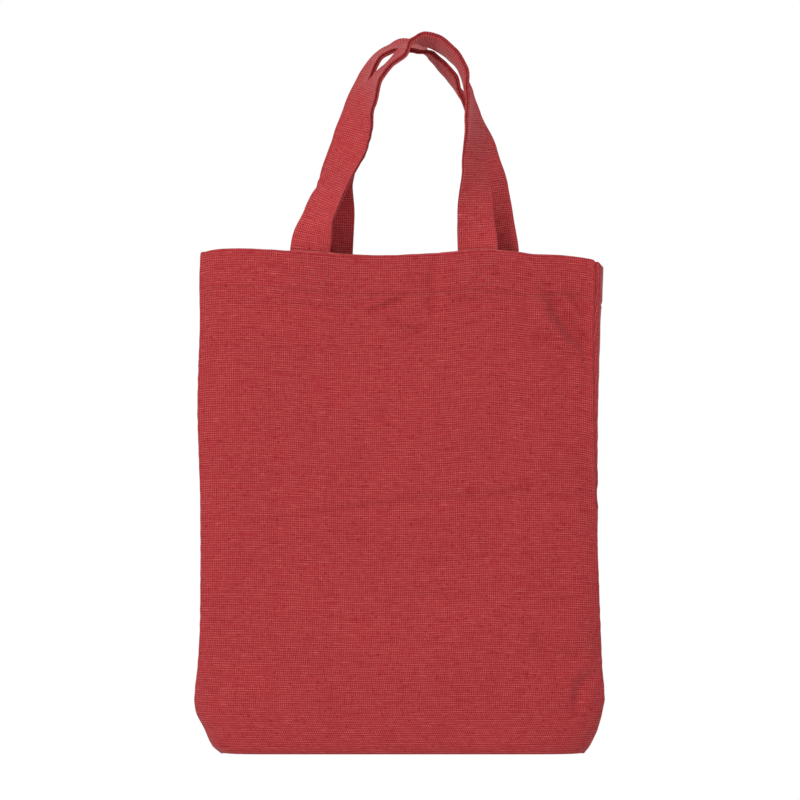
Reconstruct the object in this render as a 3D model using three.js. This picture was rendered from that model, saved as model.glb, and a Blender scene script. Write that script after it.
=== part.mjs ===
// A cloth tote bag of woven cotton, hanging by its two handles from a peg.
// Two panels are sewn together down the sides and along the middle of a boxed base.
// The mouth has a turned-in hem, and each handle is a folded strap sewn inside it.
// Millimetres, +Z up, front towards -Y. The origin is under the handles, where the peg bears.

import * as THREE from "three";
import { mergeVertices } from "three/addons/utils/BufferGeometryUtils.js";

// Body
const bodyWidth = 300;
const bodyHeight = 374;
const baseDepth = 38;
const waistDepth = 27;
const mouthDepth = 35;
const baseRounding = 16;
const mouthSag = 5;
const cloth = 1.2;
const hemHeight = 28;

// Handles
const handleWidth = 30;
const handleThickness = 2.6;
const handleSpacing = 125;
const handleRise = 160;
const handleTuck = 26;
const handleCurl = 1.3;
const frontHandleShift = -12.7;
const backHandleShift = 3.8;

// Places and fits
const pegRise = 152;
const bodyShift = -8.6;
const seamGap = 0.3;
const handleClearance = 0.3;
const pegPairGap = 0.8;

// Roundness of the body's section: a smaller power makes its sides blunter.
const lensPower = 0.65;

// Fineness of the faceted surfaces, and how far the columns crowd towards the side seams
const panelColumns = 26;
const wallRows = 20;
const handleSteps = 64;
const columnCrowding = 0.75;

const halfWidth = bodyWidth / 2;
const mouthZ = -pegRise;
const baseZ = mouthZ - bodyHeight;

// The body's outline from the base up. Height is a share of the body's height, left and
// right are shares of half its width, and square says how boxy the section is there.
const outline = [
  { height: 0.0, left: 0.87, right: 0.9, square: 14 },
  { height: 0.016, left: 0.933, right: 0.95, square: 12 },
  { height: 0.046, left: 0.972, right: 0.987, square: 10 },
  { height: 0.082, left: 1.017, right: 1.012, square: 8.5 },
  { height: 0.112, left: 1.024, right: 1.024, square: 8 },
  { height: 0.18, left: 1.008, right: 1.013, square: 7.5 },
  { height: 0.26, left: 0.998, right: 1.005, square: 7 },
  { height: 0.5, left: 0.998, right: 0.988, square: 6.5 },
  { height: 0.69, left: 1.012, right: 0.992, square: 6 },
  { height: 0.86, left: 1.0, right: 1.0, square: 6 },
  { height: 0.95, left: 1.002, right: 1.018, square: 6 },
  { height: 1.0, left: 0.996, right: 1.02, square: 6 },
];

// The rounded edge between base and wall: up is a share of the rounding and out is a
// share of half the depth there. The first two rows are the flat of the base.
const baseEdge = [
  { up: 0.0, out: 0.0 },
  { up: 0.0, out: 0.4 },
  { up: 0.0, out: 0.76 },
  { up: 0.1, out: 0.87 },
  { up: 0.33, out: 0.96 },
  { up: 1.0, out: 1.0 },
];

// How far the mouth's edge hangs below its mean height, in shares of the sag.
const mouthEdge = [
  { across: -1.0, drop: -0.1 },
  { across: -0.94, drop: -0.45 },
  { across: -0.75, drop: -0.55 },
  { across: -0.56, drop: -0.2 },
  { across: -0.3, drop: 0.45 },
  { across: -0.12, drop: 0.5 },
  { across: 0.2, drop: 0.2 },
  { across: 0.4, drop: -0.3 },
  { across: 0.56, drop: -0.05 },
  { across: 0.66, drop: 0.35 },
  { across: 0.78, drop: 0.4 },
  { across: 0.92, drop: 0.8 },
  { across: 1.0, drop: 1.85 },
];

// Soft folds of the front from one point to another, in shares of half the width and of
// the height. Spread is a share of the hem's height and rise one of the base rounding.
const frontFolds = [
  { x0: -0.6, z0: 0.47, x1: 0.02, z1: 0.5, spread: 0.4, rise: -0.06 },
  { x0: 0.02, z0: 0.5, x1: 0.88, z1: 0.55, spread: 0.4, rise: -0.07 },
  { x0: 0.62, z0: 0.87, x1: 0.9, z1: 0.79, spread: 0.42, rise: -0.12 },
  { x0: 0.72, z0: 0.9, x1: 0.93, z1: 0.82, spread: 0.3, rise: 0.08 },
  { x0: 0.7, z0: 0.25, x1: 0.95, z1: 0.18, spread: 0.42, rise: -0.1 },
  { x0: 0.95, z0: 0.16, x1: 0.85, z1: 0.09, spread: 0.32, rise: -0.08 },
  { x0: -0.3, z0: 0.88, x1: -0.12, z1: 0.87, spread: 0.32, rise: -0.06 },
  { x0: -0.12, z0: 0.87, x1: 0.08, z1: 0.91, spread: 0.32, rise: -0.06 },
];

// The storage fold across the back.
const backFolds = [
  { x0: -0.8, z0: 0.5, x1: 0.8, z1: 0.5, spread: 0.4, rise: -0.06 },
];

// Each handle's centre line from its left end to its right one. Across is a share of the
// handle spacing, up one of the handle rise, and turn is how far the strap's outer edge
// has turned to the back, in degrees. Past 90 its under face looks to the front.
const frontHandleLine = [
  { across: -0.447, up: 0.178, turn: 38 },
  { across: -0.348, up: 0.343, turn: 44 },
  { across: -0.244, up: 0.531, turn: 31 },
  { across: -0.175, up: 0.699, turn: 55 },
  { across: -0.088, up: 0.817, turn: 75 },
  { across: -0.024, up: 0.872, turn: 79 },
  { across: 0.047, up: 0.924, turn: 74 },
  { across: 0.112, up: 0.982, turn: 84 },
  { across: 0.184, up: 0.987, turn: 99 },
  { across: 0.258, up: 0.969, turn: 103 },
  { across: 0.335, up: 0.917, turn: 102 },
  { across: 0.4, up: 0.848, turn: 95 },
  { across: 0.445, up: 0.745, turn: 80 },
  { across: 0.475, up: 0.605, turn: 66 },
  { across: 0.485, up: 0.396, turn: 50 },
  { across: 0.488, up: 0.173, turn: 25 },
];
const backHandleLine = [
  { across: -0.49, up: 0.168, turn: 8 },
  { across: -0.484, up: 0.343, turn: 31 },
  { across: -0.415, up: 0.531, turn: 40 },
  { across: -0.364, up: 0.693, turn: 58 },
  { across: -0.303, up: 0.831, turn: 70 },
  { across: -0.225, up: 0.93, turn: 77 },
  { across: -0.155, up: 0.965, turn: 79 },
  { across: -0.074, up: 0.988, turn: 76 },
  { across: 0.015, up: 0.978, turn: 90 },
  { across: 0.095, up: 0.929, turn: 97 },
  { across: 0.151, up: 0.884, turn: 98 },
  { across: 0.21, up: 0.828, turn: 96 },
  { across: 0.27, up: 0.753, turn: 81 },
  { across: 0.345, up: 0.654, turn: 71 },
  { across: 0.403, up: 0.493, turn: 46 },
  { across: 0.451, up: 0.317, turn: 28 },
  { across: 0.475, up: 0.155, turn: 12 },
];

const lerp = THREE.MathUtils.lerp;
const smoothstep = THREE.MathUtils.smoothstep;

// Reads a column of a table at a key with a smooth curve through its rows.
function readTable(rows, keyName, column, key) {
  const last = rows.length - 1;
  let i = rows.findIndex((row, n) => n < last && key <= rows[n + 1][keyName]);
  if (i < 0) i = last - 1;
  const span = rows[i + 1][keyName] - rows[i][keyName];
  const t = THREE.MathUtils.clamp((key - rows[i][keyName]) / span, 0, 1);
  const slopeAt = (n) => {
    const before = rows[Math.max(n - 1, 0)];
    const after = rows[Math.min(n + 1, last)];
    return ((after[column] - before[column]) / (after[keyName] - before[keyName])) * span;
  };
  const [a, b] = [rows[i][column], rows[i + 1][column]];
  const [slopeA, slopeB] = [slopeAt(i), slopeAt(i + 1)];
  const t2 = t * t;
  const t3 = t2 * t;
  const fromA = a * (2 * t3 - 3 * t2 + 1) + slopeA * (t3 - 2 * t2 + t);
  const fromB = b * (3 * t2 - 2 * t3) + slopeB * (t3 - t2);
  return fromA + fromB;
}

// The bag's depth at a share of its height: base, then waist, then mouth.
function depthAt(height) {
  const lower = lerp(baseDepth, waistDepth, smoothstep(height, 0.08, 0.5));
  return lerp(lower, mouthDepth, smoothstep(height, 0.55, 1));
}

// How far the folds push the cloth outwards at a point of a panel.
function foldRise(folds, across, height) {
  const x = across * halfWidth;
  const z = height * bodyHeight;
  let total = 0;
  for (const fold of folds) {
    const start = new THREE.Vector2(fold.x0 * halfWidth, fold.z0 * bodyHeight);
    const along = new THREE.Vector2(fold.x1 * halfWidth, fold.z1 * bodyHeight).sub(start);
    const reach = new THREE.Vector2(x, z).sub(start);
    const t = THREE.MathUtils.clamp(reach.dot(along) / along.lengthSq(), 0, 1);
    const distance = reach.addScaledVector(along, -t).length();
    const spread = fold.spread * hemHeight;
    total += fold.rise * baseRounding * Math.exp(-((distance / spread) ** 2));
  }
  return total * (1 - across ** 8);
}

// A point of the body's wall. Side is -1 for the front and 1 for the back, inset is how
// far inside the outer face it lies, and out is the share of the depth reached there.
function bodyPoint(side, folds, across, height, inset, out) {
  const left = -halfWidth * readTable(outline, "height", "left", height) + inset;
  const right = halfWidth * readTable(outline, "height", "right", height) - inset;
  const square = readTable(outline, "height", "square", height);
  const lens = (1 - Math.abs(across) ** square) ** lensPower;
  const halfDepth = Math.max((depthAt(height) / 2) * out - inset - seamGap / 2, 0);
  const rise = foldRise(folds, across, height) * out;
  const topZ = mouthZ - mouthSag * readTable(mouthEdge, "across", "drop", across);
  return new THREE.Vector3(
    bodyShift + lerp(left, right, (across + 1) / 2),
    side * (seamGap / 2 + halfDepth * lens + Math.max(rise, -halfDepth * lens)),
    lerp(baseZ + inset, topZ, height),
  );
}

// The rows of a panel from the seam under the base up to the mouth.
function panelRows() {
  const rows = baseEdge.map((edge) => ({
    height: (edge.up * baseRounding) / bodyHeight,
    out: edge.out,
    inset: cloth,
  }));
  const wallStart = baseRounding / bodyHeight;
  const hemStart = 1 - hemHeight / bodyHeight;
  for (let i = 1; i <= wallRows; i++) {
    rows.push({ height: lerp(wallStart, hemStart, i / wallRows), out: 1, inset: cloth });
  }
  const hemStep = cloth / bodyHeight;
  for (const height of [hemStart + hemStep, (hemStart + 1) / 2, 1]) {
    rows.push({ height, out: 1, inset: 2 * cloth });
  }
  return rows;
}

// Closes two grids of points, an outer and an inner one, into one solid.
function shellGeometry(outer, inner, flip) {
  const rowCount = outer.length;
  const columnCount = outer[0].length;
  const points = [...outer.flat(), ...inner.flat()];
  const triangles = [];
  const outerAt = (row, column) => row * columnCount + column;
  const innerAt = (row, column) => rowCount * columnCount + row * columnCount + column;
  const quad = (a, b, c, d) => {
    triangles.push(...(flip ? [a, c, b, a, d, c] : [a, b, c, a, c, d]));
  };
  for (let r = 0; r < rowCount - 1; r++) {
    for (let c = 0; c < columnCount - 1; c++) {
      quad(outerAt(r, c), outerAt(r, c + 1), outerAt(r + 1, c + 1), outerAt(r + 1, c));
      quad(innerAt(r, c), innerAt(r + 1, c), innerAt(r + 1, c + 1), innerAt(r, c + 1));
    }
  }
  const lastRow = rowCount - 1;
  const lastColumn = columnCount - 1;
  for (let c = 0; c < lastColumn; c++) {
    quad(outerAt(0, c + 1), outerAt(0, c), innerAt(0, c), innerAt(0, c + 1));
    quad(outerAt(lastRow, c), outerAt(lastRow, c + 1), innerAt(lastRow, c + 1), innerAt(lastRow, c));
  }
  for (let r = 0; r < lastRow; r++) {
    quad(outerAt(r, 0), outerAt(r + 1, 0), innerAt(r + 1, 0), innerAt(r, 0));
    quad(outerAt(r + 1, lastColumn), outerAt(r, lastColumn), innerAt(r, lastColumn), innerAt(r + 1, lastColumn));
  }
  return closedGeometry(points, triangles);
}

// A geometry of points and triangles with its coinciding points joined.
function closedGeometry(points, triangles) {
  const geometry = new THREE.BufferGeometry().setFromPoints(points);
  geometry.setIndex(triangles);
  const merged = mergeVertices(geometry, 1e-4);
  merged.computeVertexNormals();
  return merged;
}

// Half of the bag's body: wall, half the base and the hem turned in at the mouth.
function panelGeometry(side, folds) {
  const rows = panelRows();
  const columns = [];
  for (let c = 0; c <= panelColumns; c++) {
    const even = (2 * c) / panelColumns - 1;
    columns.push(lerp(even, Math.sin((even * Math.PI) / 2), columnCrowding));
  }
  const outer = rows.map((row) =>
    columns.map((across) => bodyPoint(side, folds, across, row.height, 0, row.out)),
  );
  const inner = rows.map((row) =>
    columns.map((across) => bodyPoint(side, folds, across, row.height, row.inset, row.out)),
  );
  return shellGeometry(outer, inner, side > 0);
}

// How far from the middle plane the hem's inner face lies at a place across the bag.
function hemReach(side, folds, x, drop) {
  const across = (x - bodyShift) / halfWidth;
  const height = 1 - drop / bodyHeight;
  return Math.abs(bodyPoint(side, folds, across, height, 2 * cloth, 1).y);
}

// Where a handle's end lies against the hem, and how it turns to lie flat there.
function handleSeat(side, folds, x) {
  const edges = [-handleWidth / 2, 0, handleWidth / 2];
  const reach = edges.map((offset) =>
    Math.min(
      hemReach(side, folds, x + offset, handleTuck),
      hemReach(side, folds, x + offset, handleTuck / 2),
      hemReach(side, folds, x + offset, 0),
    ),
  );
  const slope = Math.atan2(reach[2] - reach[0], handleWidth);
  const middle = Math.min(reach[1], (reach[0] + reach[2]) / 2);
  const outward = x < bodyShift ? 1 : -1;
  return {
    y: side * (middle - handleClearance - handleThickness / 2),
    turn: -side * outward * THREE.MathUtils.radToDeg(slope),
  };
}

// The strap's cross section: across its width and through its thickness, with soft edges.
function strapSection(curl) {
  const half = handleWidth / 2;
  const face = handleThickness / 2;
  const stations = [-0.94, -0.5, 0, 0.5, 0.94];
  const sag = (share) => -curl * share * share;
  const front = stations.map((share) => [share * half, face + sag(share)]);
  const back = stations.map((share) => [share * half, -face + sag(share)]).reverse();
  return [...front, [half, sag(1)], ...back, [-half, sag(1)]];
}

// A handle: a folded strap that leaves the hem, turns on its edge, crosses the peg and
// comes down again on the other side.
function handleGeometry(side, folds, shift, line) {
  const rootX = [shift - handleSpacing / 2, shift + handleSpacing / 2];
  const seats = rootX.map((x) => handleSeat(side, folds, x));
  const rootShares = [-handleTuck / handleRise, -handleTuck / handleRise / 2, 0.02];
  const leftEnd = rootShares.map((up) => ({ across: -0.5, up, turn: seats[0].turn, root: 0 }));
  const rightEnd = rootShares.map((up) => ({ across: 0.5, up, turn: seats[1].turn, root: 1 }));
  const stations = [...leftEnd, ...line, ...rightEnd.reverse()];
  const middleY = side * (handleWidth / 2 + pegPairGap / 2);
  const centre = stations.map((station, i) => {
    const seat = station.root ?? (i < stations.length / 2 ? 0 : 1);
    const lift = smoothstep(station.up, 0.02, 0.85);
    return new THREE.Vector3(
      shift + station.across * handleSpacing,
      lerp(seats[seat].y, middleY, lift),
      mouthZ + station.up * handleRise,
    );
  });
  const curve = new THREE.CatmullRomCurve3(centre, false, "centripetal");
  const count = stations.length - 1;
  const rings = [];
  for (let i = 0; i <= handleSteps; i++) {
    const t = i / handleSteps;
    const place = t * count;
    const a = Math.min(Math.floor(place), count - 1);
    const turnDegrees = lerp(stations[a].turn, stations[a + 1].turn, smoothstep(place - a, 0, 1));
    const up = lerp(stations[a].up, stations[a + 1].up, place - a);
    const turn = THREE.MathUtils.degToRad(turnDegrees);
    const tangent = curve.getTangent(t);
    const inPlane = new THREE.Vector3(-tangent.z, 0, tangent.x).normalize();
    const widthways = inPlane.multiplyScalar(Math.cos(turn));
    widthways.y = Math.sin(turn);
    widthways.addScaledVector(tangent, -widthways.dot(tangent)).normalize();
    const outwards = new THREE.Vector3().crossVectors(widthways, tangent);
    const centrePoint = curve.getPoint(t);
    const curl = handleCurl * smoothstep(up, 0.3, 0.9);
    rings.push(
      strapSection(curl).map(([across, through]) =>
        centrePoint.clone().addScaledVector(widthways, across).addScaledVector(outwards, through),
      ),
    );
  }
  return sweptGeometry(rings);
}

// Joins rings of points into a closed sweep with flat ends.
function sweptGeometry(rings) {
  const sides = rings[0].length;
  const points = rings.flat();
  const triangles = [];
  for (let r = 0; r < rings.length - 1; r++) {
    for (let s = 0; s < sides; s++) {
      const next = (s + 1) % sides;
      const [a, b] = [r * sides + s, r * sides + next];
      const [c, d] = [a + sides, b + sides];
      triangles.push(a, b, d, a, d, c);
    }
  }
  const last = (rings.length - 1) * sides;
  for (let s = 1; s < sides - 1; s++) {
    triangles.push(0, s + 1, s);
    triangles.push(last, last + s, last + s + 1);
  }
  return closedGeometry(points, triangles);
}

// Red slub cotton of the body.
function bodyCotton() {
  return new THREE.MeshStandardMaterial({ color: 0xa93b3d, roughness: 0.95, metalness: 0 });
}

// The same cotton folded into straps, where the light catches it more.
function strapCotton() {
  return new THREE.MeshStandardMaterial({ color: 0xb84648, roughness: 0.95, metalness: 0 });
}

function namedMesh(name, geometry, material) {
  const mesh = new THREE.Mesh(geometry, material);
  mesh.name = name;
  return mesh;
}

const toteBag = new THREE.Group();
toteBag.add(namedMesh("front_panel", panelGeometry(-1, frontFolds), bodyCotton()));
toteBag.add(namedMesh("back_panel", panelGeometry(1, backFolds), bodyCotton()));
toteBag.add(
  namedMesh(
    "front_handle",
    handleGeometry(-1, frontFolds, frontHandleShift, frontHandleLine),
    strapCotton(),
  ),
);
toteBag.add(
  namedMesh(
    "back_handle",
    handleGeometry(1, backFolds, backHandleShift, backHandleLine),
    strapCotton(),
  ),
);

export default toteBag;
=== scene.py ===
import math
import bpy
import numpy as np
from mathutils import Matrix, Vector
from mathutils.bvhtree import BVHTree


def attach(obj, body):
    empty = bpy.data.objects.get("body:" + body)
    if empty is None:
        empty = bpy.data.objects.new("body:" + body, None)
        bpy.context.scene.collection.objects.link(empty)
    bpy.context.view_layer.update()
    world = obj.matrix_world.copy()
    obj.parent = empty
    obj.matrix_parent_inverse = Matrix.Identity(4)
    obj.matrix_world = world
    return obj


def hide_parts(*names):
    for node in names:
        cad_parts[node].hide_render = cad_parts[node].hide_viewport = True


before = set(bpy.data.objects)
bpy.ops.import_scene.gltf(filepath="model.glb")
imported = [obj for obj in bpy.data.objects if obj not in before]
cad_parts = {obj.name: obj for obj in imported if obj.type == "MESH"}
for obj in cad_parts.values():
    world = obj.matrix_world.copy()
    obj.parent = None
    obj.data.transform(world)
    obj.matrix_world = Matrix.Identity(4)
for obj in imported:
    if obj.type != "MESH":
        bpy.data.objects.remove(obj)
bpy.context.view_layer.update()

# The panels. Two pieces of slub cotton are sewn together down the sides and along the
# middle of a boxed base. Each is cut in one with its half of the base, and its top is
# turned in to make a double hem at the mouth, so it is one closed skin of cloth.
mm = 0.001
body_width = 300
body_height = 374
base_depth, waist_depth, mouth_depth = 38, 27, 35
base_rounding = 16
mouth_sag = 5
cloth = 1.2
hem_height = 28
peg_rise = 152
body_shift = -8.6
lens_power = 0.65
half_width = body_width / 2
mouth_z = -peg_rise
base_z = mouth_z - body_height

# Height as a share of the body's, left and right as shares of half its width, and how
# boxy the section is there.
body_outline = [
    (0, 0.893, 0.922, 14), (0.016, 0.937, 0.951, 12), (0.046, 0.972, 0.987, 10), (0.082, 1.017, 1.012, 8.5),
    (0.112, 1.024, 1.024, 8), (0.18, 1.008, 1.013, 7.5), (0.26, 0.998, 1.005, 7), (0.5, 0.998, 0.988, 6.5),
    (0.69, 1.012, 0.992, 6), (0.86, 1, 1.003, 6), (0.95, 1.002, 1.013, 6), (1, 0.996, 1.015, 6),
]
# Place across the bag, and how far the mouth's edge hangs there, in shares of the sag.
mouth_edge = [
    (-1, -0.1), (-0.94, -0.45), (-0.75, -0.55), (-0.56, -0.2), (-0.3, 0.45), (-0.12, 0.5), (0.2, 0.2),
    (0.4, -0.3), (0.56, -0.05), (0.66, 0.35), (0.78, 0.4), (0.92, 0.8), (0.975, 1.4), (1, 1.95),
]
# The stretches of the height, as shares, over which the depth goes from base to waist and
# from waist to mouth.
to_waist, to_mouth = (0.08, 0.5), (0.55, 1)
# How far across the right-hand seam has rolled, and over what heights it comes to that. The
# front there stays flat past flat_from and loses only flat_loss of its depth up to the seam,
# and it comes to that over flat_up in height and flat_across in width.
seam_roll, seam_roll_up = 0.035, (0.42, 0.95)
flat_from, flat_loss = 0.82, 0.12
flat_up, flat_across = (0.4, 0.75), (0.8, 0.9)


def read_table(rows, column, at):
    """Reads a column of a table at some keys of its first column, smoothly through its rows."""
    table = np.array(rows, float)
    keys, values = table[:, 0], table[:, column]
    last = len(keys) - 1
    row = np.clip(np.searchsorted(keys, at) - 1, 0, last - 1)
    before = np.maximum(np.arange(last + 1) - 1, 0)
    after = np.minimum(np.arange(last + 1) + 1, last)
    slope = (values[after] - values[before]) / (keys[after] - keys[before])
    span = keys[row + 1] - keys[row]
    t = np.clip((at - keys[row]) / span, 0, 1)
    from_row = values[row] * (2 * t**3 - 3 * t**2 + 1) + slope[row] * span * (t**3 - 2 * t**2 + t)
    to_next = values[row + 1] * (3 * t**2 - 2 * t**3) + slope[row + 1] * span * (t**3 - t**2)
    return from_row + to_next


def ramp(value, low, high):
    """Goes smoothly from 0 at the low value to 1 at the high one."""
    t = np.clip((value - low) / (high - low), 0, 1)
    return t * t * (3 - 2 * t)


def bell(away, width):
    """1 at no distance, and falling off smoothly over a width."""
    return np.exp(-((away / width) ** 2))


def depth_at(height):
    """The bag's depth at a share of its height: base, then waist, then mouth."""
    lower = base_depth + (waist_depth - base_depth) * ramp(height, *to_waist)
    return lower + (mouth_depth - lower) * ramp(height, *to_mouth)


def seam_at(height):
    """Where across the front the right-hand side seam lies, with 1 for the bag's very edge."""
    return 1 - seam_roll * ramp(height, *seam_roll_up)


def body_point(side, across, height, inset, out):
    """Points of the body's wall. Past across 1 the wall goes on round to the other side."""
    round_side = np.where(across > 1, -side, side)
    across = np.where(across > 1, 2 - across, across)
    left = -half_width * read_table(body_outline, 1, height) + inset
    right = half_width * read_table(body_outline, 2, height) - inset
    square = read_table(body_outline, 3, height)
    lens = (1 - np.abs(across) ** square) ** lens_power
    # On the right the front stays flat up to the side seam, which has rolled round to it.
    seam = seam_at(height)
    past_seam = np.clip((across - seam) / (1 - seam + 1e-9), 0, 1)
    flat_lens = (1 - flat_from**square) ** lens_power * (1 - flat_loss * ramp(across, flat_from, 1))
    flat_lens = flat_lens * np.sqrt(1 - past_seam**2)
    rolled = ramp(height, *flat_up) * ramp(across, *flat_across) * (round_side < 0)
    lens = lens + (flat_lens - lens) * rolled
    half_depth = np.maximum(depth_at(height) / 2 * out - inset, 0)
    top = mouth_z - mouth_sag * read_table(mouth_edge, 1, across)
    x = body_shift + left + (right - left) * (across + 1) / 2
    z = base_z + inset + (top - base_z - inset) * height
    return np.stack([x, round_side * half_depth * lens, z], -1)


def normals_of(grid):
    """Unit normals of a grid of points, from its neighbours along rows and columns."""
    normal = np.cross(np.gradient(grid, axis=1), np.gradient(grid, axis=0))
    length = np.linalg.norm(normal, axis=-1, keepdims=True)
    return normal / np.maximum(length, 1e-9)


def run_length(points):
    """How far along its line each point lies, from 0 at the first one."""
    steps = np.linalg.norm(np.diff(points, axis=-2), axis=-1)
    return np.concatenate([steps[..., :1] * 0, np.cumsum(steps, -1)], -1)


def line_distance(x, z, points):
    """Distance from a line through some points, its side, which is 1 above the line, and how
    far along the line the nearest place is, from 0 to 1."""
    best, side, along = np.full(x.shape, 1e9), np.ones(x.shape), np.zeros(x.shape)
    for n, ((x0, z0), (x1, z1)) in enumerate(zip(points[:-1], points[1:])):
        dx, dz = x1 - x0, z1 - z0
        t = np.clip(((x - x0) * dx + (z - z0) * dz) / (dx * dx + dz * dz), 0, 1)
        away = np.hypot(x - x0 - t * dx, z - z0 - t * dz)
        nearer = away < best
        best = np.where(nearer, away, best)
        side = np.where(nearer, np.sign(dx * (z - z0) - dz * (x - x0)), side)
        along = np.where(nearer, (n + t) / (len(points) - 1), along)
    return best, side, along


# Creases: their line in mm, their width in mm and how far they stand out, before the
# strength below. The last size tips the crease, so that one side of it is the higher one.
front_creases = [
    ([(-150, -188), (-100, -191), (-55, -193), (-31, -196)], 3.5, -0.5, 0.3),
    ([(-31, -196), (-14, -189), (-3, -184)], 2.2, -1.0, 0.5),
    ([(-31, -196), (-16, -204), (-1, -211), (12, -216)], 2.6, -0.85, -0.5),
    ([(20, -160), (17, -176), (18, -186), (19, -200)], 5, -1.1, 0.5),
    ([(33, -188), (45, -189), (57, -188)], 3.5, -0.8, 0.3),
    ([(103, -180), (112, -196), (124, -212), (140, -228)], 6.5, -2.1, 1.1),
    ([(119, -180), (128, -192), (139, -206)], 4.5, -1.5, 0.7),
    ([(89, -214), (109, -230), (122, -238)], 9, -1.5, -0.6),
    ([(98, -190), (102, -203), (114, -222), (132, -240)], 6, 1.3, 0),
    ([(-101, -350), (-66, -346), (-40, -342), (-6, -338), (34, -334), (59, -334), (84, -328), (125, -319)],
     5, -0.6, 0.5),
    ([(59, -334), (97, -340), (132, -337)], 6, -0.6, -0.4),
    ([(52, -379), (74, -380)], 6, -0.5, 0.3),
    ([(-16, -407), (15, -408), (46, -407)], 6, -0.5, 0.4),
    ([(106, -411), (127, -412)], 6, -0.6, 0.4),
    ([(94, -432), (104, -449), (134, -457)], 8, -1.5, 0.8),
    ([(136, -466), (127, -474), (121, -492)], 6, -1.4, -0.8),
    ([(-107, -511), (-100, -519)], 4, -1.1, 0.3),
]
back_creases = [
    ([(-120, -336), (-60, -341), (0, -344)], 7, -0.6, 0.4),
    ([(-60, -186), (-30, -200), (10, -206)], 7, -0.9, 0.5),
    ([(90, -190), (112, -214), (126, -236)], 7, -1.3, 0.7),
    ([(-130, -440), (-104, -456), (-88, -480)], 8, -1.3, 0.6),
]
crease_strength = 2.6
# A crease has this share of its depth at its ends, and all of it past this share of its length.
crease_end_depth, crease_end_run = 0.4, 0.2


def crease_rise(creases, x, z):
    """How far the creases lift the cloth at some places, in mm."""
    total = np.zeros(x.shape)
    for points, width, rise, tip in creases:
        away, side, along = line_distance(x, z, points)
        run_in = np.clip(np.minimum(along, 1 - along) / crease_end_run, 0, 1)
        depth = crease_end_depth + (1 - crease_end_depth) * run_in
        share = away / width
        total += crease_strength * depth * bell(away, width) * (rise + tip * side * share)
    return total


def soft_waves(x, z, seed, count, shortest, longest):
    """A soft, even unevenness, mostly from -1 to 1, as a seeded sum of waves of some lengths in mm."""
    pick = np.random.default_rng(seed)
    total = np.zeros(x.shape)
    for _ in range(count):
        length = pick.uniform(shortest, longest)
        turn = pick.uniform(0, np.pi)
        start = pick.uniform(0, 2 * np.pi)
        total += np.sin((x * np.cos(turn) + z * np.sin(turn)) * 2 * np.pi / length + start)
    usual_peak = 1.6 * math.sqrt(count)
    return total / usual_peak


panel_columns = 180
seam_crowding = 0.8
wall_rows, hem_rows, roll_steps = 210, 22, 5
# From the seam under the base up to where the wall starts: share of the rounding's height,
# and how much of the depth the cloth reaches there.
base_edge = [
    (0, 0), (0, 0.02), (0, 0.2), (0, 0.4), (0, 0.6), (0, 0.76), (0.04, 0.83), (0.1, 0.87), (0.2, 0.92),
    (0.33, 0.96), (0.6, 0.985), (1, 1),
]


def panel_profile(inner_face):
    """The rows of one face of a panel, from the base's seam up to the middle of the mouth's edge:
    the share of the height, how far in it lies in mm, and the share of the depth it reaches."""
    wall_inset, hem_inset = (cloth, 2 * cloth) if inner_face else (0, 0)
    wall_start = base_rounding / body_height
    hem_start = 1 - hem_height / body_height
    roll_start = 1 - cloth / body_height
    rows = [(up * base_rounding / body_height, wall_inset, out) for up, out in base_edge]
    for i in range(1, wall_rows + 1):
        rows.append((wall_start + (hem_start - wall_start) * i / wall_rows, wall_inset, 1))
    for i in range(1, hem_rows + 1):
        rows.append((hem_start + (roll_start - hem_start) * i / hem_rows, hem_inset, 1))
    for i in range(1, roll_steps + 1):
        bend = math.pi / 2 * i / roll_steps
        inset = cloth * (1 - math.cos(bend))
        up = roll_start + (1 - roll_start) * math.sin(bend)
        rows.append((up, hem_inset - inset if inner_face else inset, 1))
    return np.array(rows)


# The straps' ends lie inside the hem and press through it a little. The two handles hang
# a little to the left and to the right of the middle.
handle_width = 30
handle_spacing = 125
handle_tuck = 26
handle_shift = {-1: -12.7, 1: 3.8}
emboss_rise, emboss_edge, emboss_margin, emboss_foot = 0.4, 1.8, 0.8, 1


def handle_roots(side):
    """Where across the bag the two ends of a handle are sewn in, in mm."""
    return handle_shift[side] - handle_spacing / 2, handle_shift[side] + handle_spacing / 2


def strap_emboss(side, x, from_top):
    """Where the straps' ends press through the hem, from 0 to 1."""
    total = np.zeros(x.shape)
    for middle in handle_roots(side):
        edge = ramp(handle_width / 2 + emboss_margin - np.abs(x - middle), 0, emboss_edge)
        total += edge * (1 - ramp(from_top, handle_tuck - emboss_foot, handle_tuck + emboss_foot))
    return total


# Place across the bag, and how far under the mouth's edge the hem's seam runs there, in mm.
hem_seam = [(-150, 28), (-90, 28.4), (-40, 30), (34, 29.6), (60, 30.8), (84, 30.8), (134, 29.3)]


def hem_drop(x):
    """How far under the mouth's edge the hem's seam runs. It wanders by a millimetre or two."""
    return np.interp(x, *zip(*hem_seam))


# The cloth's relief, in mm. Waves: how far they rise, how many there are, and the shortest
# and longest of them. They fade out within wave_margin of a seam and below base_calm.
panel_waves = [(1.0, 9, 55, 130), (0.16, 14, 14, 34)]
wave_margin, crease_margin, base_calm = 14, 5, 0.06
# The hem swells down to just past its seam, which is pulled in along the stitches.
hem_swell, hem_swell_edge = 0.8, (-1, 5)
hem_groove, hem_groove_width = 1.3, 1.2
# Puckers run in from the side seams, which stand up a little to both sides of a groove.
pucker_rise, pucker_reach, pucker_start = 0.35, 5, 1.5
pucker_waves = (8, 7, 17)
seam_swell, seam_swell_width = 0.9, 4
seam_groove, seam_groove_width = 1.7, 1.1


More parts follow.
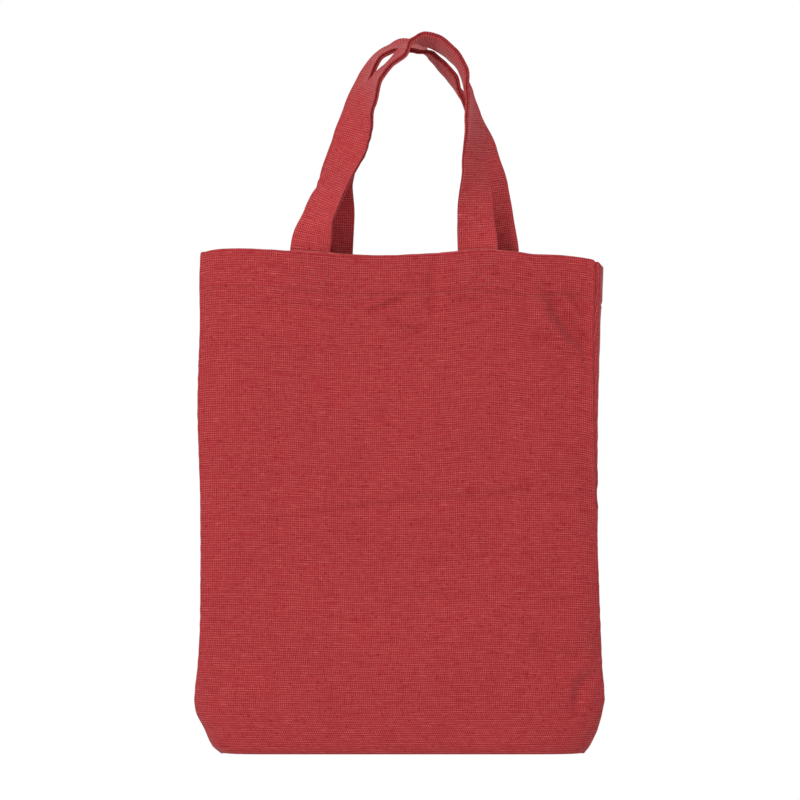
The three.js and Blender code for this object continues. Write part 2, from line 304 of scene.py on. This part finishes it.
def panel_grid(side, creases, inner_face, seed):
    """One face of a panel as a grid of points, and their places on the flat cloth, all in mm."""
    rows = panel_profile(inner_face)
    height, inset, out = (rows[:, [n]] * np.ones(panel_columns + 1) for n in range(3))
    even = np.linspace(-1, 1, panel_columns + 1)
    crowded = even + (np.sin(even * np.pi / 2) - even) * seam_crowding
    right_end = seam_at(height) if side < 0 else 2 - seam_at(height)
    across = -1 + (crowded + 1) / 2 * (right_end + 1)
    grid = body_point(side, across, height, inset, out)
    x, z = grid[..., 0], grid[..., 2]
    arc = run_length(grid)
    from_seam = np.minimum(arc, arc[:, -1:] - arc)
    inner_part = 1 - bell(from_seam, wave_margin)
    wall = ramp(height, 0, base_calm)
    rise = crease_rise(creases, x, z) * (1 - bell(from_seam, crease_margin)) * wall
    for n, (wave_rise, *waves) in enumerate(panel_waves):
        rise += wave_rise * soft_waves(x, z, seed + n, *waves) * inner_part * wall
    from_top = (1 - height) * body_height
    under_hem = from_top - hem_drop(x)
    rise += hem_swell * (1 - ramp(under_hem, *hem_swell_edge)) * inner_part
    rise += emboss_rise * strap_emboss(side, x, from_top)
    rise -= hem_groove * bell(under_hem, hem_groove_width) * inner_part
    pucker = bell(from_seam, pucker_reach) * (1 - bell(from_seam, pucker_start))
    rise += pucker_rise * pucker * soft_waves(x * 0, z, seed + 2, *pucker_waves)
    outward = normals_of(grid)
    outward *= np.sign((outward[..., 1] * side).mean() + 1e-12)
    if not inner_face:
        rise += seam_swell * bell(from_seam, seam_swell_width)
        rise -= seam_groove * bell(from_seam, seam_groove_width)
    grid = grid + outward * rise[..., None]
    flat = np.stack([arc + across[:, :1], height * body_height], -1)
    return grid, flat


def mesh_piece(name, points, faces, flat=None):
    """A smooth mesh object from points in mm and its faces, with the cloth's flat places in mm
    as its UV map. Points that a face repeats are dropped, and so is a face left with too few."""
    mesh = bpy.data.meshes.new(name)
    cleaned = [[int(v) for n, v in enumerate(face) if v != face[n - 1]] for face in faces]
    kept = [face for face in cleaned if len(set(face)) > 2]
    mesh.from_pydata((np.asarray(points) * mm).tolist(), [], kept)
    if flat is not None:
        layer = mesh.uv_layers.new(name="flat_cloth")
        corner = np.empty(len(mesh.loops), int)
        mesh.loops.foreach_get("vertex_index", corner)
        layer.data.foreach_set("uv", (np.asarray(flat)[corner] * mm).ravel())
    mesh.polygons.foreach_set("use_smooth", np.ones(len(mesh.polygons), bool))
    mesh.validate()
    mesh.update()
    piece = bpy.data.objects.new(name, mesh)
    bpy.context.scene.collection.objects.link(piece)
    return piece


def closed_skin(name, outer, inner, flat_outer, flat_inner, flip):
    """A closed skin of cloth from an outer and an inner grid that meet in their last rows."""
    row_count, column_count = outer.shape[:2]
    points = np.concatenate([outer, inner[:-1][::-1]]).reshape(-1, 3)
    flat = np.concatenate([flat_outer, flat_inner[:-1][::-1]]).reshape(-1, 2)
    loop_rows = 2 * row_count - 1
    at = np.arange(loop_rows * column_count).reshape(loop_rows, column_count)
    closed = np.concatenate([at, at[:1]])
    quads = [[closed[:-1, :-1], closed[:-1, 1:], closed[1:, 1:], closed[1:, :-1]]]
    # The two side edges are closed by quads from the outer face to the inner one.
    last = row_count - 1
    opposite = at[::-1]
    low, high, low_in, high_in = at[:last], at[1 : last + 1], opposite[:last], opposite[1 : last + 1]
    quads.append([low[:, 0], high[:, 0], high_in[:, 0], low_in[:, 0]])
    quads.append([low[:, -1], low_in[:, -1], high_in[:, -1], high[:, -1]])
    faces = np.concatenate([np.stack(corners, -1).reshape(-1, 4) for corners in quads])
    if flip:
        faces = faces[:, ::-1]
    return mesh_piece(name, points, faces, flat)


def linear(hex_colour):
    """An sRGB hex colour as linear RGBA."""
    parts = [int(hex_colour[n : n + 2], 16) / 255 for n in (1, 3, 5)]
    return [c / 12.92 if c <= 0.04045 else ((c + 0.055) / 1.055) ** 2.4 for c in parts] + [1]


def add_node(tree, kind, settings=None, **links):
    """Adds a node with its settings, and links its sockets, each given by its name with _ for
    a space or by its number after n, to another node's first output or to an output."""
    node = tree.nodes.new("ShaderNode" + kind)
    for key, value in (settings or {}).items():
        if isinstance(key, str) and hasattr(node, key):
            setattr(node, key, value)
        else:
            node.inputs[key].default_value = value
    for key, source in links.items():
        numbered = key[0] == "n" and key[1:].isdigit()
        socket = node.inputs[int(key[1:]) if numbered else key.replace("_", " ")]
        tree.links.new(source.outputs[0] if hasattr(source, "outputs") else source, socket)
    return node


def per_metre(size):
    """How many cells of a pattern go into a metre of cloth, from a cell's size in mm."""
    return 1 / (size * mm)


def slub_cotton(name, dark, mean, light, groove_at=None):
    """Plain-woven slub cotton, piece-dyed red. Its ribs of weft and of warp give the eye a
    fine, broken check, and its uneven yarns give it short streaks and darker flecks."""
    material = bpy.data.materials.new(name)
    material.use_nodes = True
    tree = material.node_tree
    tree.nodes.clear()
    noise = {"Scale": 1.0, "Detail": 1.0, "noise_dimensions": "2D"}
    place = add_node(tree, "UVMap", {"uv_map": "flat_cloth"})
    # The threads aren't quite straight: over about 18 mm they wander by up to 0.4 mm.
    wander = add_node(tree, "TexNoise", {**noise, "Scale": per_metre(18.182)}, Vector=place)
    shift = add_node(
        tree, "VectorMath", {"operation": "SCALE", "Scale": 0.4 * mm}, n0=wander.outputs["Color"]
    )
    bent = add_node(tree, "VectorMath", {"operation": "ADD"}, n0=place, n1=shift)
    parts = add_node(tree, "SeparateXYZ", {}, Vector=bent)
    terms = []
    # In the real cloth a rib of weft is about 1.7 mm wide and a pair of warp threads 1.5 mm.
    # Each shows in patches, where its yarns are fuller. The columns are the axis, the ribs'
    # spacing and a patch's width and height in mm, and how strong they are there.
    ribs = (("Y", 1.69, 16.667, 3.8462, 0.14), ("X", 1.54, 4.3478, 11.111, 0.115))
    for axis, spacing, width, tall, strength in ribs:
        turns = 2 * math.pi / (spacing * mm)
        angle = add_node(tree, "Math", {"operation": "MULTIPLY", 1: turns}, n0=parts.outputs[axis])
        wave = add_node(tree, "Math", {"operation": "SINE"}, n0=angle)
        cells = (per_metre(width), per_metre(tall), 1)
        spread = add_node(tree, "VectorMath", {"operation": "MULTIPLY", 1: cells}, n0=place)
        where = add_node(tree, "TexNoise", noise, Vector=spread)
        share = add_node(
            tree,
            "MapRange",
            {"From Min": 0.35, "From Max": 0.68, "To Min": 0.3 * strength, "To Max": strength},
            Value=where,
        )
        terms.append(add_node(tree, "Math", {"operation": "MULTIPLY"}, n0=wave, n1=share))
    # The uneven yarns: short streaks of weft and of warp, thin picks up to 20 mm long that
    # read as fine dark lines, a few fuller ones that read as light lines, thin warps, and
    # flecks. The columns are a streak's width and height in mm, the part of the noise that
    # shows, and the tone at its low and high ends.
    yarns = (
        (5.8824, 0.90909, 0.3, 0.7, -0.024, 0.024),
        (0.90909, 5.0, 0.3, 0.7, -0.022, 0.022),
        (20.833, 1.1111, 0.64, 0.78, 0.0, -0.1),
        (11.111, 1.1364, 0.66, 0.8, 0.0, 0.1),
        (1.1111, 14.286, 0.66, 0.8, 0.0, -0.07),
        (3.0303, 1.6129, 0.69, 0.8, 0.0, -0.22),
    )
    for n, (width, tall, low, high, at_low, at_high) in enumerate(yarns):
        cells, apart = (per_metre(width), per_metre(tall), 1), (7.3 * n, 3.1 * n, 0)
        spread = add_node(tree, "VectorMath", {"operation": "MULTIPLY_ADD", 1: cells, 2: apart}, n0=bent)
        yarn = add_node(tree, "TexNoise", noise, Vector=spread)
        span = {"From Min": low, "From Max": high, "To Min": at_low, "To Max": at_high}
        terms.append(add_node(tree, "MapRange", span, Value=yarn))
    height = terms[0]
    for term in terms[1:]:
        height = add_node(tree, "Math", {"operation": "ADD"}, n0=height, n1=term)
    # Half way up the sum is the cloth's mean colour.
    height = add_node(tree, "Math", {"operation": "ADD", 1: 0.5}, n0=height)
    tone = add_node(tree, "ValToRGB", {}, Fac=height)
    stops = tone.color_ramp.elements
    stops[0].position, stops[0].color = 0.25, linear(dark)
    stops[1].position, stops[1].color = 0.75, linear(light)
    stops.new(0.5).color = linear(mean)
    # Faint cloudiness of the dye, in patches of about 60 mm.
    cloud = add_node(tree, "TexNoise", {**noise, "Scale": per_metre(62.5), "Detail": 3.0}, Vector=place)
    fade = add_node(
        tree, "MapRange", {"From Min": 0.3, "From Max": 0.7, "To Min": 0.975, "To Max": 1.025}, Value=cloud
    )
    colour = add_node(tree, "VectorMath", {"operation": "SCALE"}, n0=tone, Scale=fade)
    if groove_at:
        # Painted shade: little light gets into the groove between the folded edges of a strap, so the colour
        # is darkened there. It is darkest within 0.8 mm of the groove's middle, and 3 mm away the cloth has
        # its own colour.
        girth = add_node(tree, "SeparateXYZ", {}, Vector=place)
        across = add_node(
            tree, "Math", {"operation": "SUBTRACT", 1: groove_at * mm}, n0=girth.outputs["X"]
        )
        away = add_node(tree, "Math", {"operation": "ABSOLUTE"}, n0=across)
        painted_groove_shade = add_node(
            tree,
            "MapRange",
            {"From Min": 0.8 * mm, "From Max": 3 * mm, "To Min": 0.6, "To Max": 1.0},
            Value=away,
        )
        colour = add_node(tree, "VectorMath", {"operation": "SCALE"}, n0=colour, Scale=painted_groove_shade)
    bump = add_node(tree, "Bump", {"Strength": 0.45, "Distance": 0.6 * mm}, Height=height)
    finish = {"Roughness": 0.92, "IOR": 1.47, "Specular IOR Level": 0.2}
    fuzz = {"Sheen Weight": 0.2, "Sheen Roughness": 0.4}
    cotton = add_node(tree, "BsdfPrincipled", {**finish, **fuzz}, Base_Color=colour, Normal=bump)
    add_node(tree, "OutputMaterial", {}, Surface=cotton)
    return material


panel_cotton = slub_cotton("slub cotton, plain weave", "#861922", "#a73036", "#cf625f")

for side, name, creases, seed in (
    (-1, "front_panel_cloth", front_creases, 5),
    (1, "back_panel_cloth", back_creases, 19),
):
    outer, flat_outer = panel_grid(side, creases, False, seed)
    inner, flat_inner = panel_grid(side, creases, True, seed)
    panel = closed_skin(name, outer, inner, flat_outer, flat_inner, side > 0)
    panel.data.materials.append(panel_cotton)
    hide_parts(name.replace("_cloth", ""))
    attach(panel, "root")

# The stitching. The hem is run down all round by a lockstitch, and each end of a strap is held
# by a sewn box with a cross in it. The thread is spun polyester a shade lighter than the
# cloth, and its pull sinks a groove into the cloth along the hem's seam.
stitch_pitch, stitch_length, thread_radius = 3.1, 2.2, 0.2
stitch_offset = 0.15
thread_sides = 6
# A stitch from end to end: share of its length, how far it lies over the cloth in mm, and
# its thickness as a share of the thread's.
stitch_form = [(0, -0.35, 0.5), (0.12, 0.0, 0.85), (0.5, 0.14, 1.1), (0.88, 0.0, 0.85), (1, -0.35, 0.5)]
tack_width, tack_top, tack_foot = 25, 5.5, 25
# How far across the hem's stitches go. On the front they end at the seam that has rolled round.
hem_stitch_start, hem_stitch_end = -0.965, {-1: 0.93, 1: 0.965}
hem_stitch_points = 60
# Each place is found on the panel by a ray from this far in front of the middle plane, in mm.
ray_start = 100


def stitch_rods(surface, side, line):
    """Points and faces of a run of stitches on a panel, along a line of places (x, z) in mm."""
    line = np.array(line, float)
    along = run_length(line)
    points, faces = [], []
    for n in range(int(along[-1] / stitch_pitch)):
        start = (n + stitch_offset) * stitch_pitch
        rings = []
        for share, lift, thick in stitch_form:
            at = start + share * stitch_length
            x, z = np.interp(at, along, line[:, 0]), np.interp(at, along, line[:, 1])
            outside = Vector((x * mm, side * ray_start * mm, z * mm))
            hit, normal = surface.ray_cast(outside, Vector((0, -side, 0)))[:2]
            if hit is None:
                break
            normal = np.array(normal)
            rings.append((np.array(hit) / mm + normal * lift, normal, thick * thread_radius))
        if len(rings) < len(stitch_form):
            continue
        run = rings[-1][0] - rings[0][0]
        run /= np.linalg.norm(run)
        first = len(points)
        for centre, normal, radius in rings:
            beside = np.cross(run, normal)
            for corner in range(thread_sides):
                angle = 2 * math.pi * corner / thread_sides
                points.append(centre + radius * (math.cos(angle) * beside + math.sin(angle) * normal))
        for ring in range(len(rings) - 1):
            ring_start = first + ring * thread_sides
            for corner in range(thread_sides):
                a, b = ring_start + corner, ring_start + (corner + 1) % thread_sides
                faces.append((a, b, b + thread_sides, a + thread_sides))
        last_ring = len(points) - thread_sides
        faces.append(tuple(range(first + thread_sides - 1, first - 1, -1)))
        faces.append(tuple(range(last_ring, last_ring + thread_sides)))
    return points, faces


def sewing_thread(name, colour):
    """Spun polyester thread, dyed red. Its fine twist gives the eye a soft, slightly bright dash."""
    material = bpy.data.materials.new(name)
    material.use_nodes = True
    tree = material.node_tree
    tree.nodes.clear()
    place = add_node(tree, "TexCoord").outputs["Object"]
    # The real twist is about 0.4 mm long, too fine to show. At this scale the bands lie about
    # 1.6 mm apart.
    twist = add_node(
        tree, "TexWave", {"Scale": 400.0, "Distortion": 2.0, "bands_direction": "DIAGONAL"}, Vector=place
    )
    shade = add_node(tree, "ValToRGB", {}, Fac=twist.outputs["Fac"])
    # Painted shade: between the twist's strands the colour is darkened to three quarters, for the shade in
    # the grooves there.
    painted_strand_shade = 0.75
    shade.color_ramp.elements[0].color = [painted_strand_shade * c for c in linear(colour)[:3]] + [1]
    shade.color_ramp.elements[1].color = linear(colour)
    bump = add_node(tree, "Bump", {"Strength": 0.3, "Distance": 0.1 * mm}, Height=twist.outputs["Fac"])
    thread = add_node(
        tree,
        "BsdfPrincipled",
        {"Roughness": 0.6, "IOR": 1.55, "Sheen Weight": 0.1, "Sheen Roughness": 0.4},
        Base_Color=shade,
        Normal=bump,
    )
    add_node(tree, "OutputMaterial", {}, Surface=thread)
    return material


red_thread = sewing_thread("spun polyester thread, twisted", "#b24c4b")

for side, panel_name in ((-1, "front_panel_cloth"), (1, "back_panel_cloth")):
    skin = bpy.data.objects[panel_name].data
    surface = BVHTree.FromPolygons([v.co for v in skin.vertices], [list(f.vertices) for f in skin.polygons])
    across = np.linspace(hem_stitch_start, hem_stitch_end[side], hem_stitch_points)
    drop = hem_drop(across * half_width + body_shift)
    hem = body_point(side, across, 1 - drop / body_height, 0, 1)
    lines = [hem[:, [0, 2]]]
    for middle in handle_roots(side):
        middle_across = np.array((middle - body_shift) / half_width)
        top = float(body_point(side, middle_across, np.array(1.0), 0, 1)[2])
        left, right = middle - tack_width / 2, middle + tack_width / 2
        high, low = top - tack_top, top - tack_foot
        lines.append([(left, high), (right, high), (right, low), (left, low), (left, high)])
        lines.append([(left, high), (right, low)])
        lines.append([(left, low), (right, high)])
    points, faces = [], []
    for line in lines:
        more_points, more_faces = stitch_rods(surface, side, line)
        faces += [tuple(n + len(points) for n in face) for face in more_faces]
        points += more_points
    stitching = mesh_piece(panel_name.replace("panel_cloth", "stitching"), points, faces)
    stitching.data.materials.append(red_thread)
    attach(stitching, "root")

# The handles. Each is a strip of the same cotton folded to four layers, with a smooth fold at
# one edge and two lips and a groove at the other. Its ends are sewn inside the hem, and it
# hangs in the twist that its own stiffness gives it, over a peg that isn't part of the bag.
handle_thickness = 2.6
handle_rise = 160
handle_clearance = 0.3
hem_gap = 0.15
peg_pair_gap = 0.8
handle_steps = 420
# A strap's ends come up straight to this share of the rise. From there to lift_done it goes
# over from its seat against the hem to its place at the peg.
mouth_clear, lift_done = 0.02, 0.85

# Place across in shares of the spacing, up in shares of the rise, and how far the outer
# edge has turned to the back, in degrees. Past 90 the under face looks to the front.
front_handle_line = [
    (-0.447, 0.178, 38), (-0.348, 0.343, 44), (-0.244, 0.531, 31), (-0.175, 0.699, 55), (-0.088, 0.817, 75),
    (-0.024, 0.872, 79), (0.047, 0.924, 74), (0.112, 0.98, 86), (0.183, 0.984, 101), (0.255, 0.967, 103),
    (0.333, 0.916, 100), (0.394, 0.845, 93), (0.434, 0.742, 80), (0.472, 0.603, 66), (0.485, 0.396, 50),
    (0.488, 0.173, 25),
]
back_handle_line = [
    (-0.49, 0.168, 8), (-0.484, 0.343, 31), (-0.415, 0.531, 40), (-0.364, 0.693, 58), (-0.303, 0.831, 70),
    (-0.225, 0.93, 77), (-0.155, 0.963, 76), (-0.074, 0.982, 67), (0.015, 0.968, 71), (0.092, 0.926, 93),
    (0.147, 0.879, 97), (0.205, 0.821, 96), (0.266, 0.748, 82), (0.345, 0.654, 71), (0.403, 0.493, 46),
    (0.451, 0.317, 28), (0.475, 0.155, 12),
]
# The lips of the folded edge: how far in from the edge in mm, and through as a share of half
# the thickness. The groove between them is the deepest place.
lip_start = 0.8
lips = [(0.35, 0.97), (0, 0.62), (0.15, 0.26), (1.7, 0.0), (0.15, -0.26), (0, -0.62), (0.35, -0.97)]
face_points, edge_points = 17, 9
# How far round the strap from the first lip the groove's middle lies, in mm.
groove_girth = 62.95
# The lips open where the strap bends, by this share of its thickness and near the edge alone.
lip_spread, lip_reach, bent_up = 0.55, 2.6, (0.3, 0.65)
# Its edges curl down, by these mm and from these heights, and it is cupped at one station.
edge_curl, curl_up = 1.3, (0.3, 0.9)
strap_cup, cup_place, cup_reach = 2.0, 14.3, 1.2
# Ripples near the top, broad waves all along and a waver of the edges: how far they go in
# mm, and the waves' count, shortest and longest. Both kinds of wave lie a little aslant.
ripple_rise, ripple_waves, ripple_up, ripple_slant = 0.28, (9, 6, 17), (0.75, 0.97), 2.5
broad_rise, broad_waves, broad_slant, broad_across = 0.3, (6, 34, 80), 9, 14
edge_waver, waver_waves = 0.4, (8, 9, 30)
straight_share = 0.3
# Folds across the front strap: how far along it they lie in mm, their slant and how far they
# stand out in mm.
front_folds = [(98, -1.37, 1.2), (90, -1.2, -0.8), (138, 0.9, 0.7)]
fold_width = 2.4


def hem_reach(side, x, drop):
    """How far from the middle plane the hem's inner face lies at a place across the bag."""
    across, height = np.array((x - body_shift) / half_width), np.array(1 - drop / body_height)
    return abs(float(body_point(side, across, height, 2 * cloth, 1)[1])) + hem_gap


def handle_seat(side, x):
    """Where a handle's end lies against the hem, and how it turns to lie flat there."""
    reach = [
        min(hem_reach(side, x + offset, drop) for drop in (handle_tuck, handle_tuck / 2, 0))
        for offset in (-handle_width / 2, 0, handle_width / 2)
    ]
    slope = math.atan2(reach[2] - reach[0], handle_width)
    middle = min(reach[1], (reach[0] + reach[2]) / 2)
    outward = 1 if x < body_shift else -1
    return side * (middle - handle_clearance - handle_thickness / 2), -side * outward * math.degrees(slope)


def smooth_line(stations, steps):
    """A smooth curve through stations whose first three numbers are a point; the rest go with it."""
    stations = np.array(stations, float)
    before_first, past_last = 2 * stations[0] - stations[1], 2 * stations[-1] - stations[-2]
    padded = np.concatenate([[before_first], stations, [past_last]])
    count = len(stations) - 1
    place = np.linspace(0, count, steps + 1)
    station = np.minimum(place.astype(int), count - 1)
    t = (place - station)[:, None]
    a, b, c, d = (padded[station + n] for n in range(4))
    # The knots lie apart by the square root of the distance, so that no bend overshoots.
    ab, bc, cd = (
        np.maximum(np.linalg.norm((later - sooner)[:, :3], axis=1) ** 0.5, 1e-3)[:, None]
        for sooner, later in ((a, b), (b, c), (c, d))
    )
    leave = ((b - a) / ab - (c - a) / (ab + bc) + (c - b) / bc) * bc
    arrive = ((c - b) / bc - (d - b) / (bc + cd) + (d - c) / cd) * bc
    square = -3 * b + 3 * c - 2 * leave - arrive
    cube = 2 * b - 2 * c + leave + arrive
    return b + leave * t + square * t**2 + cube * t**3


def strap_section():
    """The folded strap's section, as places across it and through it in mm."""
    half, face = handle_width / 2, handle_thickness / 2
    fold = half - face
    points = [(x, face) for x in np.linspace(-half + lip_start, fold, face_points)]
    angles = np.linspace(0, math.pi, edge_points)[1:-1]
    points += [(fold + face * math.sin(angle), face * math.cos(angle)) for angle in angles]
    points += [(x, -face) for x in np.linspace(fold, -half + lip_start, face_points)]
    points += [(-half + inward, through * face) for inward, through in lips[::-1]]
    return np.array(points)


def unit(vectors):
    """The same directions with a length of 1."""
    return vectors / np.linalg.norm(vectors, axis=1, keepdims=True)


def strap_course(side, line):
    """A strap's middle line, with how high it has risen, its turn and its place in the table."""
    left_seat, right_seat = (handle_seat(side, x) for x in handle_roots(side))
    tucked = -handle_tuck / handle_rise
    end_heights = [tucked, tucked / 2, mouth_clear]
    rows = [(-0.5, up, left_seat[1], left_seat[0]) for up in end_heights]
    for n, row in enumerate(line):
        rows.append((*row, left_seat[0] if n < len(line) / 2 else right_seat[0]))
    rows += [(0.5, up, right_seat[1], right_seat[0]) for up in end_heights[::-1]]
    top_y = side * (handle_width / 2 + peg_pair_gap / 2)
    stations = []
    for across, up, turn, seat_y in rows:
        y = seat_y + (top_y - seat_y) * float(ramp(up, mouth_clear, lift_done))
        x = handle_shift[side] + across * handle_spacing
        stations.append((x, y, mouth_z + up * handle_rise, turn, up))
    course = smooth_line(stations, handle_steps)
    place = np.linspace(0, len(stations) - 1, handle_steps + 1)
    before = np.minimum(place.astype(int), len(stations) - 2)
    turns = np.array(stations)[:, 3]
    turn = turns[before] + (turns[before + 1] - turns[before]) * ramp(place - before, 0, 1)
    return course[:, :3], course[:, 4], np.radians(turn), place


def handle_piece(name, side, line, seed, folds):
    """A handle as a mesh object, and the length of its middle line in mm."""
    centre, up, turn, place = strap_course(side, line)
    tangent = unit(np.gradient(centre, axis=0))
    in_plane = unit(np.stack([-tangent[:, 2], tangent[:, 0] * 0, tangent[:, 0]], 1))
    widthways = in_plane * np.cos(turn)[:, None]
    widthways[:, 1] = np.sin(turn)
    widthways = unit(widthways - (widthways * tangent).sum(1, keepdims=True) * tangent)
    outwards = np.cross(widthways, tangent)
    section = strap_section()
    # Rows go along the strap, and columns go round its section.
    along = run_length(centre)[:, None]
    section_x, section_y = section[None, :, 0], section[None, :, 1]
    share = section_x / (handle_width / 2)
    curl = edge_curl * ramp(up, *curl_up) + strap_cup * bell(place - cup_place, cup_reach)
    # Where the strap bends, its two lips open, its edges waver and its faces ripple across.
    bent = ramp(up, *bent_up)[:, None]
    stirred = straight_share + (1 - straight_share) * bent
    near_lips = bell(section_x + handle_width / 2, lip_reach)
    ripple = soft_waves(along + share * ripple_slant, share * 0.0, seed, *ripple_waves)
    ripple = ripple * ramp(up, *ripple_up)[:, None] * (1 - 0.5 * share**2)
    broad = soft_waves(along + share * broad_slant, share * broad_across, seed + 3, *broad_waves)
    through = section_y * (1 + lip_spread * near_lips * bent) - curl[:, None] * share**2
    through = through + ripple_rise * ripple + broad_rise * broad * stirred
    for fold_at, slant, rise in folds:
        through -= rise * bell(along - fold_at - slant * section_x, fold_width)
    waver = soft_waves(along, along * 0, seed + 7, *waver_waves)
    across = section_x + edge_waver * waver * np.sign(section_x) * share**4 * stirred
    points = centre[:, None] + widthways[:, None] * across[..., None] + outwards[:, None] * through[..., None]
    flat = np.stack(np.broadcast_arrays(run_length(section)[None], along), -1)
    ring_count, ring_points = points.shape[:2]
    at = np.arange(ring_count * ring_points).reshape(ring_count, ring_points)
    around = np.concatenate([at, at[:, :1]], 1)
    quads = np.stack([around[:-1, :-1], around[:-1, 1:], around[1:, 1:], around[1:, :-1]], -1)
    faces = quads.reshape(-1, 4).tolist() + [at[0, ::-1].tolist(), at[-1].tolist()]
    piece = mesh_piece(name, points.reshape(-1, 3), faces, flat.reshape(-1, 2))
    return piece, float(along[-1, 0])


# Painted light: the straps are the panels' cotton, but their tones are set lighter for the extra light the
# folded straps catch. Along their groove they also get painted shade.
strap_cotton_painted_lighter = slub_cotton("slub cotton, folded strap", "#8d1c25", "#b1363b", "#d56966", groove_girth)

for side, name, line, seed, folds in (
    (-1, "front_handle_strap", front_handle_line, 31, front_folds),
    (1, "back_handle_strap", back_handle_line, 43, []),
):
    strap, strap_length = handle_piece(name, side, line, seed, folds)
    strap.data.materials.append(strap_cotton_painted_lighter)
    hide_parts(name.replace("_strap", ""))
    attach(strap, "root")

# The studio. A pale floor lies well below the hanging bag, a large soft light stands high at
# the front left and a weak one at the front right, and the white surround, a touch brighter
# on the right, gives most of the light.
floor_reach, floor_z = 1600, -950
floor_corners = [(x * floor_reach, y * floor_reach, floor_z) for x, y in ((-1, -1), (1, -1), (1, 1), (-1, 1))]
floor = mesh_piece("floor", floor_corners, [(0, 1, 2, 3)])
matt_paint = bpy.data.materials.new("matt white paint")
matt_paint.use_nodes = True
paint_shader = matt_paint.node_tree.nodes["Principled BSDF"]
paint_shader.inputs["Base Color"].default_value = linear("#e9e8e6")
paint_shader.inputs["Roughness"].default_value = 0.9
floor.data.materials.append(matt_paint)


def soft_light(name, place, target, size, power, colour):
    """A round soft light at a place, turned to a target, in metres, with its size and watts."""
    light = bpy.data.lights.new(name, "AREA")
    light.shape, light.size, light.energy, light.color = "DISK", size, power, linear(colour)[:3]
    lamp = bpy.data.objects.new(name, light)
    bpy.context.scene.collection.objects.link(lamp)
    lamp.location = place
    lamp.rotation_euler = (Vector(target) - Vector(place)).to_track_quat("-Z", "Y").to_euler()


soft_light("key light", (-1.25, -1.9, 0.75), (0, 0, -0.25), 0.6, 24, "#fffaf5")
soft_light("fill light", (1.2, -2.0, 0.9), (0, 0, -0.3), 1.4, 3, "#f6f9ff")

# The strength of the light from the left and from the right. The backdrop itself is plain white.
glow_left, glow_right, backdrop_white = 0.65, 0.7, 1.0
world = bpy.data.worlds.new("white surround")
world.use_nodes = True
bpy.context.scene.world = world
surround = world.node_tree
seen = add_node(surround, "LightPath")
direction = add_node(surround, "TexCoord").outputs["Generated"]
towards = add_node(surround, "SeparateXYZ", {}, Vector=direction)
glow = add_node(
    surround,
    "MapRange",
    {"From Min": -1.0, "To Min": glow_left, "To Max": glow_right},
    Value=towards.outputs["X"],
)
strength = add_node(surround, "Mix", {3: backdrop_white}, n0=seen.outputs["Is Camera Ray"], n2=glow)
surround.nodes["Background"].inputs["Color"].default_value = (1, 1, 1, 1)
surround.links.new(strength.outputs[0], surround.nodes["Background"].inputs["Strength"])

# The camera. It looks straight at the bag's front, level with the middle of the view, and so
# far off that its long lens shows the bag with little perspective.
camera_distance = 2400
view_middle_x, view_middle_z = -8.25, -261.75
camera_data = bpy.data.cameras.new("camera")
camera_data.sensor_width, camera_data.lens = 36, 144
camera = bpy.data.objects.new("camera", camera_data)
bpy.context.scene.collection.objects.link(camera)
camera.location = (view_middle_x * mm, -camera_distance * mm, view_middle_z * mm)
camera.rotation_euler = (math.pi / 2, 0, 0)
bpy.context.scene.camera = camera
bpy.context.scene.view_settings.view_transform = "Standard"
bpy.context.scene.view_settings.look = "None"
